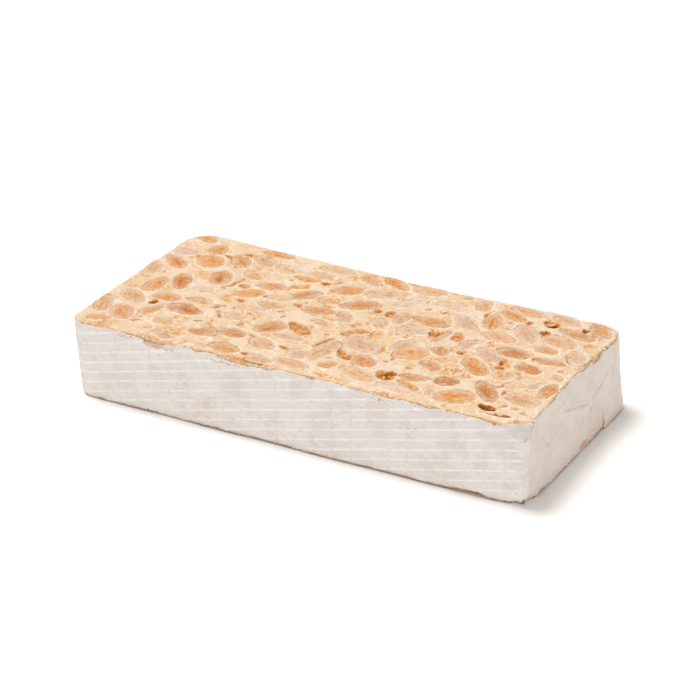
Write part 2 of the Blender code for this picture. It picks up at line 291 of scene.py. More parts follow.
def runPlace(run):
    # the point on the inner rectangle, and the way outward there
    run = np.asarray(run, float) % wholeRun
    leg = np.clip(np.searchsorted(legFrom, run, side="right") - 1, 0, 7)
    share = ((run - legFrom[leg]) / legLength[leg])[..., None]
    turned = np.radians(-90 + 90 * (leg // 2) + 90 * share[..., 0] * (leg % 2))
    return legStart[leg] + (legEnd[leg] - legStart[leg]) * share, np.stack([np.cos(turned), np.sin(turned)], -1)


def wallPlace(x, y):
    # the reverse: the run of points, and how far out they stand
    outX = x - np.clip(x, inner["left"], inner["right"])
    outY = y - np.clip(y, inner["front"], inner["back"])
    angle = np.degrees(np.arctan2(outY, outX))
    turn = inner["turn"] / 90
    run = np.select(
        [(outX == 0) & (outY <= 0), (outX > 0) & (outY < 0), (outX > 0) & (outY == 0), (outX > 0) & (outY > 0),
         (outX == 0) & (outY > 0), (outX < 0) & (outY > 0), (outX < 0) & (outY == 0)],
        [x - inner["left"], legFrom[1] + turn * (angle + 90), legFrom[2] + y - inner["front"],
         legFrom[3] + turn * angle, legFrom[4] + inner["right"] - x, legFrom[5] + turn * (angle - 90),
         legFrom[6] + inner["back"] - y],
        legFrom[7] + turn * (angle + 180))
    return run, np.hypot(outX, outY)


def treeOf(names):
    points, faces = [], []
    for name in names:
        mesh = nodes[name].data
        faces += [[len(points) + k for k in face.vertices] for face in mesh.polygons]
        points += [v.co / mm for v in mesh.vertices]
    return BVHTree.FromPolygons(points, faces)


def scanWall(names, runs, heights):
    # how far out these nodes stand at each run and height, or nan where there is none
    tree, far = treeOf(names), 45.0
    base, outward = runPlace(runs)
    found = np.full((len(runs), len(heights)), np.nan)
    for i, ((bx, by), (nx, ny)) in enumerate(zip(base, outward)):
        back = Vector((-nx, -ny, 0))
        for j, z in enumerate(heights):
            hit = tree.ray_cast(Vector((bx + nx * far, by + ny * far, z)), back, far)
            if hit[0] is not None:
                found[i, j] = far - hit[3]
    return found


def filled(found):
    # carries the nearest measured value up, down and then round over the gaps
    found = found.copy()
    heights = np.arange(found.shape[1])
    for row in found:
        known = ~np.isnan(row)
        if known.any():
            row[:] = np.interp(heights, heights[known], row[known])
    known = ~np.isnan(found[:, 0])
    steps = np.arange(len(found))
    for column in found.T:
        column[:] = np.interp(steps, steps[known], column[known], period=len(found))
    return found


runStep, heightStep = 0.5, 0.3
scanRuns = np.arange(0, wholeRun, runStep)
scanHeights = np.arange(0.05, topZ + 0.5, heightStep)
inCorner = np.where(np.searchsorted(legFrom, scanRuns, side="right") % 2 == 0, 1.0, 0.0)
inCorner = smoothed(inCorner, 4, 0, True)[:, None]


def smoothWall(found):
    # takes out the facets, less so at the corners
    level = smoothed(filled(found), 5, 1, False)
    return smoothed(level, 7, 0, True) * (1 - inCorner) + smoothed(level, 2, 0, True) * inCorner


def wallAt(wall, run, height):
    # a wall's distance between its samples
    i = (np.asarray(run) % wholeRun) / runStep
    j = np.clip((height - scanHeights[0]) / heightStep, 0, len(scanHeights) - 1.001)
    i0, j0 = np.floor(i).astype(int), np.floor(j).astype(int)
    fi, fj = i - i0, j - j0
    i0, i1 = i0 % len(scanRuns), (i0 + 1) % len(scanRuns)
    return ((wall[i0, j0] * (1 - fi) + wall[i1, j0] * fi) * (1 - fj)
            + (wall[i0, j0 + 1] * (1 - fi) + wall[i1, j0 + 1] * fi) * fj)


def alongRun(values, run):
    # a value round the bar between its samples
    return np.interp(np.asarray(run) % wholeRun, scanRuns, values, period=wholeRun)


sheetNames = ["wafer_front", "wafer_end_right", "wafer_back", "wafer_end_left"]
blockFound = scanWall(["nougat_block"], scanRuns, scanHeights)
sheetFound = scanWall(sheetNames, scanRuns, scanHeights)
blockWall, sheetWall = smoothWall(blockFound), smoothWall(sheetFound)
slipped = np.abs(scanRuns - cornerRun[2] + 1.8) < 3.2   # here the rays slip in between two sheets
for wall in (blockWall, sheetWall):
    for column in wall.T:
        column[slipped] = np.interp(scanRuns[slipped], scanRuns[~slipped], column[~slipped])
nearRim = blockFound > (blockFound[:, int(30 / heightStep)] - 0.5)[:, None]
rimDip = topZ - np.array([scanHeights[row].max() for row in nearRim])
rimDip = smoothed(np.clip(rimDip - heightStep, 0, None), 4, 0, True) * (1 - bell(scanRuns - cornerRun[0], 14))
sheetTop = np.array([scanHeights[~np.isnan(row)].max() if (~np.isnan(row)).any() else np.nan for row in sheetFound])
sheetFoot = np.array([scanHeights[~np.isnan(row)].min() if (~np.isnan(row)).any() else np.nan for row in sheetFound])
sheetTop, sheetFoot = (filled(edge[:, None])[:, 0] for edge in (sheetTop, sheetFoot))
squeeze = np.nanmax(blockFound[:, int(32.5 / heightStep):], axis=1) - wallAt(blockWall, scanRuns, 30.0 + 0 * scanRuns)
squeeze = smoothed(np.clip(squeeze - 0.25, 0, None), 3, 0, True)

# The near right corner is pressed in below the rim: a flat three-cornered fold across the sharp corner.
fold = {"front": 6.0, "side": 5.0, "foot": 29.8, "reach": 16.0}


def barWall(run, height, folded=True):
    # how far out the wafered wall stands, with or without its folded corner
    run, height = np.broadcast_arrays(np.asarray(run, float), np.asarray(height, float))
    wall = wallAt(sheetWall, run, height)
    away = np.abs((run - cornerRun[0] + wholeRun / 2) % wholeRun - wholeRun / 2)
    near = away < fold["reach"]
    if near.any():
        level = np.full(near.sum(), 25.0)
        lower, upper = wallAt(sheetWall, run[near], level - 8), wallAt(sheetWall, run[near], level)
        sharp = np.where(height[near] > 25, upper + (height[near] - 25) * (upper - lower) / 8, wall[near])
        base, outward = runPlace(run[near])
        tipBase, tipOut = runPlace(cornerRun[:1])
        tip = tipBase[0] + tipOut[0] * (wallAt(sheetWall, cornerRun[0], np.array([25.0]))[0] + 0.6)
        facing = np.array([fold["side"], -fold["front"]]) / math.hypot(fold["side"], fold["front"])
        depth = fold["side"] * fold["front"] / math.hypot(fold["side"], fold["front"])
        share = np.clip(height[near] - fold["foot"], 0, None) / (topZ - fold["foot"])
        plane = (tip @ facing - depth * share - base @ facing) / np.maximum(outward @ facing, 0.05)
        plane = np.where((outward @ facing > 0.05) & (share > 0), plane, 99.0)
        wall = wall.copy()
        wall[near] = np.minimum(sharp, plane) if folded else sharp
    return wall


print("walls read from the frame")


def readCut(name, tone):
    # the outline of a cut almond from its node: middle, half axes, turn, and how its edge departs
    points = np.array([v.co[:] for v in nodes[name].data.vertices]) / mm
    face = points[:, 2].max()
    ring = np.unique(points[points[:, 2] > face - 0.02].round(3), axis=0)[:, :2]
    middle = ring.mean(0)
    along = np.linalg.svd(ring - middle)[2][0]
    u, v = (ring - middle) @ along, (ring - middle) @ np.array([-along[1], along[0]])
    middle = middle + along * (u.max() + u.min()) / 2
    u = u - (u.max() + u.min()) / 2
    a, b = u.max(), np.abs(v).max()
    angle = np.arctan2(v / b, u / a)
    terms = np.stack([f(k * angle) for k in (1, 2, 3) for f in (np.cos, np.sin)], 1)
    wobble = np.linalg.lstsq(terms, np.hypot(u / a, v / b) - 1, rcond=None)[0]
    return {"name": name, "x": middle[0], "y": middle[1], "a": a, "b": b, "face": face, "tone": tone,
            "turn": math.atan2(along[1], along[0]), "wobble": wobble.tolist()}


toneNumbers = {
    "golden": [1, 2, 3, 5, 9, 11, 18, 23, 32, 50, 34, 54],
    "toasted": [4, 6, 10, 15, 19, 20, 21, 22, 24, 25, 26, 27, 29, 33, 36, 42, 43, 51],
    "deep": [8, 12, 48, 52],
    "blond": [7, 13, 14, 17, 28, 30, 31, 40, 41, 45, 46, 53],
    "ashen": [35, 44, 47, 49], "pale": [16, 37, 38], "ghost": [39],
}
# Smaller, paler or broken pieces: from the top's middle x, y, length, width, turn and tone.
fragmentList = [
    (-93, 28, 12, 7, -5, "ghost"), (-57, 35, 13, 8, -45, "blond"), (-54.5, 20.5, 10, 8, -10, "blond"),
    (-67, -1, 10, 6, 0, "ghost"), (-62, -11, 13, 4.5, 0, "blond"), (-77, -27, 12, 6, 65, "blond"),
    (-92, -42.5, 9, 4.5, 15, "golden"), (-67, -33.5, 9, 7, 0, "blond"), (-60.5, -44, 12, 4.5, 0, "ashen"),
    (-45, 32, 12, 8, -25, "pale"), (-29, 33.5, 12, 4.5, 0, "pale"), (-32, 27, 12, 4.5, 8, "golden"),
    (-15, 14, 9, 7, 0, "blond"), (-35, 6, 12, 5, 15, "pale"), (-35, -1, 12, 6, 0, "blond"),
    (-3, 3, 11, 7, -40, "ashen"), (-40, -8, 14, 5, 25, "ghost"), (-8, -6.5, 11, 5, -10, "pale"),
    (-14, -23, 13, 5.5, 5, "ashen"), (-4.5, -34, 11, 7, 0, "ashen"), (-17, -45, 12, 6, 0, "pale"),
    (-43, -17, 10, 6, 0, "pale"), (44, 38, 11, 6, -80, "blond"), (4, 30, 17, 8, 20, "pale"),
    (15.5, 27, 16, 6.5, 50, "ghost"), (33, 32, 13, 7, 0, "ghost"), (43.5, 21, 14, 8, -40, "ashen"),
    (18.5, 13, 12, 6.5, 75, "ashen"), (12.5, 5, 10, 7.5, -60, "ashen"), (27, 5, 13, 8, 0, "ghost"),
    (40, 5, 12, 3.5, 75, "ashen"), (8, -6.5, 10, 5, 35, "deep"), (30, -9, 13, 8, 60, "ashen"),
    (45, -7, 9, 6, -45, "deep"), (46.5, -19.5, 10, 6, -20, "toasted"), (46, -31.5, 15, 4.5, 15, "toasted"),
    (46, -38, 12, 4, -25, "golden"), (10, -37, 8, 5, 30, "golden"), (52, 3, 12, 5, 80, "ashen"),
    (59, 35, 13, 6, -20, "golden"), (82, 13, 10.5, 6, 0, "toasted"), (87.5, 4.5, 12, 6, 5, "toasted"),
    (82, -4.5, 11, 7.5, -5, "deep"), (95, -6.5, 6, 4, -50, "ashen"), (75, -14, 10, 8, -50, "blond"),
    (89.5, -17, 6, 3.5, 70, "ashen"), (83, -20, 9, 5, 20, "pale"), (58, -28.5, 10.5, 6.5, 5, "deep"),
    (56, -39.5, 5, 3, 80, "ghost"), (85.5, -44.5, 12, 1.8, 5, "ember"),
]
splitHearts = {6: 0.8, 8: 0.6, 10: 1.0, 12: 1.0, 22: 0.6, 25: 0.7, 32: 0.5, 52: 0.6, 53: 0.4}   # parted down the middle, the split painted dark as shade
rng = np.random.default_rng(5)
cuts = [readCut(f"almond_{number:02d}", tone) for tone, numbers in toneNumbers.items() for number in numbers]
cuts.sort(key=lambda cut: cut["name"])
for cut in cuts:
    cut["split"] = splitHearts.get(int(cut["name"][-2:]), 0)
for x, y, length, width, turn, tone in fragmentList:
    cuts.append({"name": None, "x": x + topMiddle[0], "y": y + topMiddle[1], "a": length / 2, "b": width / 2,
                 "turn": math.radians(turn), "tone": tone, "face": topZ - rng.uniform(0.1, 0.3),
                 "wobble": (rng.normal(0, 1, 8) * [0.03, 0.03, 0.05, 0.05, 0.04, 0.04, 0.02, 0.02]).tolist()})


def outlineSize(cut, angle):
    found = 1 + 0.012 * np.sin(4 * angle + cut["seed"]) + 0.012 * np.sin(7 * angle + 2 * cut["seed"])
    for k, value in enumerate(cut["wobble"]):
        found = found + value * (np.cos, np.sin)[k % 2]((k // 2 + 1) * angle)
    return found


def cutField(cut, x, y):
    # signed distance from a cut's outline, the angle round it, and the way outward
    c, s = math.cos(cut["turn"]), math.sin(cut["turn"])
    u, v = (x - cut["x"]) * c + (y - cut["y"]) * s, (y - cut["y"]) * c - (x - cut["x"]) * s
    angle = np.arctan2(v / cut["b"], u / cut["a"])
    outU, outV = np.cos(angle) / cut["a"], np.sin(angle) / cut["b"]
    steep = np.hypot(outU, outV)
    away = (np.hypot(u / cut["a"], v / cut["b"]) - outlineSize(cut, angle)) / steep
    return away, angle, ((outU * c - outV * s) / steep, (outU * s + outV * c) / steep)


def scatter(count, width, depth, sizes, tones, others, apart, face):
    # more pieces, laid at random where nothing else lies
    laid = []
    for _ in range(60 * count):
        a = rng.uniform(*sizes)
        cut = {"name": None, "x": rng.uniform(-width, width) + topMiddle[0], "a": a, "b": a * rng.uniform(0.45, 0.8),
               "y": rng.uniform(-depth, depth) + topMiddle[1], "turn": rng.uniform(0, math.pi), "face": face,
               "tone": tones[rng.integers(len(tones))], "seed": int(rng.integers(1, 9999)),
               "wobble": (rng.normal(0, 0.09, 8)).tolist(), "crackAt": math.radians(138), "crack_and_shade": 0.5}
        angle = np.linspace(0, 2 * math.pi, 10, endpoint=False)
        ringX, ringY = cut["x"] + a * np.cos(angle), cut["y"] + a * np.sin(angle)
        if all(cutField(other, ringX, ringY)[0].min() > apart for other in others + laid):
            laid.append(cut)
        if len(laid) == count:
            break
    return laid


for cut in cuts:
    cut["crackAt"] = math.radians(138) + rng.normal(0, 0.5)   # the gaps all open on the same side, and are painted dark there as shade
    cut["crack_and_shade"] = max(0.0, rng.uniform(-1.1, 0.7))
    cut["a"], cut["b"] = cut["a"] + 0.35, cut["b"] + 0.35
    cut["seed"] = int(rng.integers(1, 9999))
cuts += scatter(34, 95, 42, (1.1, 2.4), ("ghost", "pale", "ghost", "blond", "ashen"), cuts, 0.6, topZ - 0.15)
print(len(cuts), "cut almonds laid out")


nougatShape = {
    "columns": 376, "rows": 178,        # cells of the top, each about 0.55
    "underColumns": 140, "underRows": 66,
    "lipHeight": 0.48, "lipWidth": 0.42,  # the raised edge that the saw pulls up round an almond
    "pocket": 1.4,                       # how deep the nougat falls away under an almond's edge
    "crackDepth": 1.0, "crackWidth": 0.38,
    "waviness": 0.12, "rimWidth": 3.5,
}
# Pits in the sawn face, from the top's middle: x, y, length, width, turn, depth and how dark their painted shade is.
pitList = [
    (80, -40.5, 6.2, 3.4, -15, 3.4, 1.0), (-79.5, -20.6, 3, 1.8, 60, 2.4, 0.9), (-15, -14, 11, 6, -30, 1.6, 0.2),
    (-10.8, -16.6, 4, 2.6, -20, 2.4, 0.75), (12, -26.5, 8, 4.5, -35, 1.4, 0.12), (14, -28.3, 3.5, 2.4, -20, 2.6, 0.8),
    (75, 35, 6, 4.4, -20, 1.9, 0.55), (75.5, 27, 3.2, 2.6, 0, 1.5, 0.6), (66, 32.5, 2.6, 2.2, 0, 1.2, 0.5),
    (89.5, 36, 2.2, 1.8, -40, 1.8, 0.9), (12.5, 14, 3, 4.6, 0, 1.0, 0.4), (7, 14, 2.2, 2, 0, 1.0, 0.45),
    (37, 6, 7, 3.4, 20, 1.0, 0.45), (4.5, -10.5, 3, 2, 0, 1.2, 0.55), (-24, 27, 3, 2, 0, 1.1, 0.5),
    (-66.5, 36.5, 2.6, 2, 0, 1.0, 0.45), (-23, -43.5, 3, 1.6, 0, 1.0, 0.5), (81.5, 4, 2.4, 3, 0, 1.2, 0.5),
    (70, -4, 2, 2.4, 0, 1.2, 0.5), (71, -9, 2, 1.8, 0, 1.0, 0.5), (52.5, -4, 2, 3, 0, 1.0, 0.4),
    (-48, -3, 2.6, 1.6, 0, 1.0, 0.45), (-53.5, 9.5, 4.4, 3.2, 0, 1.2, 0.2), (-54, -12, 3.4, 2.4, 0, 0.9, 0.2),
    (-25, 4, 3.4, 2.2, 0, 0.9, 0.2), (46, 7, 4.6, 5.4, 30, 1.1, 0.12),
    (36.2, -32.2, 2.6, 2.0, -50, 1.7, 0.6), (34.2, -33.2, 1.8, 2.4, -20, 2.2, 0.75), (32.8, -35.2, 2.6, 1.8, -60, 1.6, 0.6),
    (35.4, -35.4, 1.8, 1.6, 0, 2.3, 0.8), (31.8, -37.4, 1.8, 1.4, -30, 1.8, 0.6), (34, -34.8, 8, 5.5, -35, 0.6, 0.3),
]
# Thin creases, painted dark as shade: from the top's middle x0, y0, x1, y1.
creaseList = [
    (-75.5, 32.5, -71.5, 31.5), (-86.5, 27.2, -82.5, 24.8), (-57, 13.5, -59.5, 6), (47.6, 32.2, 49.2, 27.6),
    (22, 17.5, 24.2, 12.4), (1.5, -15.5, -2, -26), (-14.5, -31, -9.4, -32.8), (-29.4, -28.2, -24.6, -29.8),
    (80.6, -25.5, 83.4, -30.6), (77, -23.6, 80.6, -20), (-51, -16.6, -48.2, -19.6), (-40.6, -17.4, -38.4, -19.4),
]
# Crumbly ground where the saw has torn the nougat: x, y and reach.
crumbList = [(45, -12, 9), (25, 5, 9), (-40, -10, 8), (-56, 33, 7), (-55, 20, 6), (70, -6, 6), (27, 3, 6),
             (-90, -43, 5), (-14, 13, 6), (50, -20, 6), (-60, -42, 6), (10, -12, 5), (60, 10, 5), (12, 9, 6),
             (12, -6, 7), (36, 6, 7), (48, -4, 6), (58, -18, 7), (32, -10, 7), (20, -16, 5)]


def shapeTop(x, y, inset, dip):
    # the sawn face: height over the level top, and the masks that colour it
    shape = nougatShape
    lift = shape["waviness"] * (softNoise(x, y, 14, 1) + 0.8 * softNoise(x, y, 5, 2))
    lift += 0.12 * softNoise(x, y, 1.9, 3) + 0.04 * softNoise(x, y, 0.9, 4)
    fall, pale_lip_and_highlight, crack_and_shade = np.zeros_like(x), np.zeros_like(x), np.zeros_like(x)
    nearest = np.full_like(x, 99.0)
    for cut in cuts:
        reach = cut["a"] + 3
        near = (np.abs(x - cut["x"]) < reach) & (np.abs(y - cut["y"]) < reach)
        away, angle, (outX, outY) = cutField(cut, x[near], y[near])
        facing = outX * math.cos(cut["crackAt"]) + outY * math.sin(cut["crackAt"])
        patchy = softNoise(angle * 2.5, np.full_like(angle, cut["seed"]), 1, 11)
        fall[near] = np.minimum(fall[near], -shape["pocket"] * (1 - ease(-1.3, 0.05, away)))
        # the lips are whiter on the side away from the gap, their lit side: painted highlight over their own pale
        # colour
        strength = np.clip(0.5 - 0.3 * facing + 0.6 * patchy, 0, 1)
        pale_lip_and_highlight[near] = np.maximum(pale_lip_and_highlight[near], strength * bell(away - 0.4, shape["lipWidth"]))
        # the gap on one side of each almond is painted dark as shade
        window = ease(0.0, 0.8, facing + 0.6 * patchy) * cut["crack_and_shade"]
        crack_and_shade[near] = np.maximum(crack_and_shade[near], window * bell(away - 0.05, shape["crackWidth"]))
        nearest[near] = np.minimum(nearest[near], away)
    bare = ease(-0.4, 0.2, nearest)
    pale_lip_and_highlight, crack_and_shade = pale_lip_and_highlight * bare, crack_and_shade * ease(-0.6, -0.1, nearest)
    for x0, y0, x1, y1 in creaseList:
        line = [(x0 + topMiddle[0], y0 + topMiddle[1]), (x1 + topMiddle[0], y1 + topMiddle[1])]
        away, share = lineAway(x + 0.35 * np.sin(y * 1.3), y, line)
        crack_and_shade = np.maximum(crack_and_shade, bell(away, 0.6) * (0.5 + 0.5 * np.sin(math.pi * share)))
    gold_and_pit_shade, deep_pit_shade, sunk = np.zeros_like(x), np.zeros_like(x), np.zeros_like(x)
    for px, py, length, width, turn, depth, dark in pitList:
        hole = {"x": px + topMiddle[0], "y": py + topMiddle[1], "a": length / 2 + 0.3, "b": width / 2 + 0.3, "seed": int(px * 7) % 50,
                "turn": math.radians(turn), "wobble": [0.06, -0.05, 0.08, 0.04, -0.06, 0.05]}
        near = (np.abs(x - hole["x"]) < length) & (np.abs(y - hole["y"]) < length)
        away, angle, _ = cutField(hole, x[near], y[near])
        steep = 1 - ease(-min(0.8, width * 0.3), 0.2, away)
        sunk[near] = np.maximum(sunk[near], depth * steep)
        # painted golden shade in the pits, and dark brown painted shade at the bottom of the deep ones
        gold_and_pit_shade[near] = np.maximum(gold_and_pit_shade[near], min(1, 1.6 * dark) * ease(0.55, 0.0, away))
        deep_pit_shade[near] = np.maximum(deep_pit_shade[near], ease(0.45, 0.85, dark) * ease(0.15, -0.4, away))
    crumb = np.zeros_like(x)
    for cx, cy, reach in crumbList:
        crumb = np.maximum(crumb, bell(np.hypot(x - cx - topMiddle[0], y - cy - topMiddle[1]), reach * 0.7))
    crumb = np.clip(crumb * (1.2 + 0.9 * softNoise(x, y, 3, 21)), 0, 1)
    crumb = np.maximum(crumb, 0.7 * ease(0.45, 0.75, softNoise(x, y, 5, 22)))
    crumb = np.maximum(crumb, 0.8 * bell(nearest - 0.7, 0.6) * ease(0.25, 0.7, softNoise(x, y, 2.6, 23)))
    crumb = crumb * np.where((y > 5) | (x < -85), ease(0.5, 4.0, inset), 1.0)   # the back and left rims are clean
    torn = 1 - 2 * np.abs(softNoise(x + 0.5 * y, y, 2.4, 24))   # thin pulled ridges
    lift += crumb * (0.40 * torn + 0.36 * softNoise(x, y, 1.4, 5) + 0.22 * softNoise(x, y, 0.8, 6)) * bare
    lift -= 0.4 * crumb * ease(0.2, 1.2, nearest)   # torn out between the almonds
    lift += gold_and_pit_shade * (0.35 * softNoise(x, y, 1.1, 25) + 0.2 * softNoise(x, y, 0.7, 26)) * (1 - deep_pit_shade)
    lift += pale_lip_and_highlight * shape["lipHeight"] + fall - crack_and_shade * shape["crackDepth"] - sunk
    lift -= dip * (1 - ease(0, shape["rimWidth"], inset))
    lift += 0.08 * softNoise(x, y, 2.0, 7) * (1 - ease(0.5, 2.5, inset))
    lift = np.where(lift > 0.4, 0.4 + 0.3 * (lift - 0.4), lift)   # the saw leaves nothing standing tall
    # painted highlight: the tops of the torn ridges are whitened
    pale_lip_and_highlight = np.maximum(pale_lip_and_highlight, 0.6 * ease(0.75, 0.98, torn) * bare)
    return lift, {"pale_lip_and_highlight": pale_lip_and_highlight, "crack_and_shade": crack_and_shade, "crumb": crumb * bare, "gold_and_pit_shade": gold_and_pit_shade, "hole": deep_pit_shade,
                  # low: painted shade, golden brown in the low places of the top
                  "halo": bare * bell(nearest, 1.1), "low": ease(0.0, -0.5, lift) * bare}


def coonsPatch(front, right, back, left):
    # a grid between four edges; front and back run along X, left and right along Y
    u = np.linspace(0, 1, len(front))[:, None, None]
    v = np.linspace(0, 1, len(left))[None, :, None]
    corners = ((1 - u) * (1 - v) * front[0] + u * (1 - v) * front[-1] + (1 - u) * v * back[0] + u * v * back[-1])
    return ((1 - v) * front[:, None] + v * back[:, None] + (1 - u) * left[None] + u * right[None]) - corners


patchCorners = [cornerRun[3] - wholeRun, *cornerRun]


def patchRuns(columns, rows):
    # the runs of the patch's four edges, in the order that coonsPatch takes
    counts = [columns, rows, columns, rows]
    edges = [np.linspace(a, b, n + 1) for a, b, n in zip(patchCorners, patchCorners[1:], counts)]
    return edges[0], edges[1], edges[2][::-1], edges[3][::-1]


def patchLoop(ids):
    # the vertex numbers round a patch, anticlockwise from its front left corner
    return np.concatenate([ids[:, 0], ids[-1, 1:], ids[-2::-1, -1], ids[0, -2:0:-1]])


def nougatOut(run, height):
    # the nougat fills the wafer, and has squeezed over it in places at the rim
    ooze = alongRun(squeeze, run) * (0.75 + 0.5 * softNoise(run, height, 1.7, 34))
    return barWall(run, height) - 0.6 + ooze * ease(31.5, 34.0, height)


def onWall(run, height, inset):
    base, outward = runPlace(run)
    return base + outward * (nougatOut(run, height) - inset)[..., None]


def snapToCuts(x, y, inset):
    # pulls the vertices beside an almond's outline onto it, so that its edge comes out clean
    free = inset > 2
    for cut in cuts:
        reach = cut["a"] + 2
        near = np.flatnonzero(free & (np.abs(x - cut["x"]) < reach) & (np.abs(y - cut["y"]) < reach))
        away, _, (outX, outY) = cutField(cut, x[near], y[near])
        close = np.abs(away) < 0.26
        x[near[close]] -= (away * outX)[close]
        y[near[close]] -= (away * outY)[close]
        free[near[close]] = False


def makeNougat(shape):
    columns, rows = shape["columns"], shape["rows"]
    edges = patchRuns(columns, rows)
    top = coonsPatch(*(onWall(run, np.full_like(run, topZ), 0.3) for run in edges))
    x, y = top[..., 0].ravel(), top[..., 1].ravel()
    run, out = wallPlace(x, y)
    inset = nougatOut(run, np.full_like(run, topZ)) - out
    snapToCuts(x, y, inset)
    lift, masks = shapeTop(x, y, inset, alongRun(rimDip, run))
    points = [np.stack([x, y, topZ + lift], 1)]
    ids = np.arange(len(x)).reshape(columns + 1, rows + 1)
    faces = gridFaces(ids)
    loop = patchLoop(ids)
    rimRun = np.concatenate([edges[0], edges[1][1:], edges[2][-2::-1], edges[3][-2:0:-1]])
    rimTop = points[0][loop, 2]

    # the walls: rings from the rim down, broken over at the top and drawn in where the foot is lifted
    rings = [(0.10, 0.08, 0), (0.0, 0.28, 0), (0.0, 0.8, 0), (0.0, 1.7, 0), (0.0, 3.0, 0)]
    rings += [(0.0, None, z) for z in (26, 18, 10, 5, 2.6, 1.4, 0.7)] + [(0.25, None, 0.25), (0.8, None, 0.06)]
    foot = alongRun(sheetFoot, rimRun)
    calm = np.where((rimRun > cornerRun[1]) & (rimRun < cornerRun[3]), 0.15, 1.0)   # cleaner at the back and left
    last, count = loop, len(points[0])
    for ringInset, drop, level in rings:
        z = rimTop - drop if drop is not None else np.full_like(rimRun, level)
        rough = (0.18 * softNoise(rimRun, z * 1.3, 1.6, 31) + 0.1 * softNoise(rimRun, z, 0.8, 32)) * calm
        tuck = 1.3 * ease(-0.2, 1.0, foot - z) * ease(0.5, 0.9, foot)
        place = onWall(rimRun, np.clip(z, 0, None), ringInset - rough + tuck)
        points.append(np.column_stack([place, z + (0.08 * softNoise(rimRun, z, 1.2, 33) if drop is not None else 0)]))
        ring = count + np.arange(len(rimRun))
        count += len(ring)
        after = np.roll(np.arange(len(ring)), -1)
        faces += np.stack([ring, ring[after], last[after], last], 1).tolist()
        last = ring

    # the underside, sawn like the top but coarser, and flat because the bar stands on it
    edges = patchRuns(shape["underColumns"], shape["underRows"])
    under = coonsPatch(*(onWall(r, np.full_like(r, 0.1), 1.4 + 1.3 * ease(0.5, 0.9, alongRun(sheetFoot, r)))
                         for r in edges)).reshape(-1, 2)
    height = 0.08 + 0.25 * ease(0.45, 0.8, softNoise(*under.T, 4, 41)) + 1.2 * ease(0.72, 0.9, softNoise(*under.T, 3, 42))
    points.append(np.column_stack([under, height]))
    underIds = count + np.arange(len(under)).reshape(shape["underColumns"] + 1, shape["underRows"] + 1)
    faces += [face[::-1] for face in gridFaces(underIds)]
    underLoop = patchLoop(underIds)
    faces += stitch(np.append(last, last[0]).tolist(), np.append(underLoop, underLoop[0]).tolist())

    points = np.concatenate(points)
    for name in masks:
        masks[name] = np.concatenate([masks[name], np.zeros(len(points) - len(x))])
    sideways = points[len(x):, 0] + points[len(x):, 1]
    around, _ = wallPlace(points[len(x):, 0], points[len(x):, 1])
    clean = ease(cornerRun[0] - 6, cornerRun[0], around) * ease(endStart + 13, endStart + 8, around)
    masks["crumb"][len(x):] = (0.5 + 0.5 * softNoise(sideways, points[len(x):, 2], 3, 43)) * (1 - 0.9 * clean)
    masks["pale_lip_and_highlight"][len(x):] = 0.5 * ease(0.1, 0.7, softNoise(sideways, points[len(x):, 2], 1.6, 44))
    piece = newPiece("nougat", points, faces, nougatMaterial, masks)
    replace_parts(piece, "nougat_block")


makeNougat(nougatShape)
print("nougat made")

crumbShape = {"onTop": 190, "onRim": 60, "inPits": 70, "atFoot": 90, "around": 8, "down": 5, "size": (0.2, 0.5)}


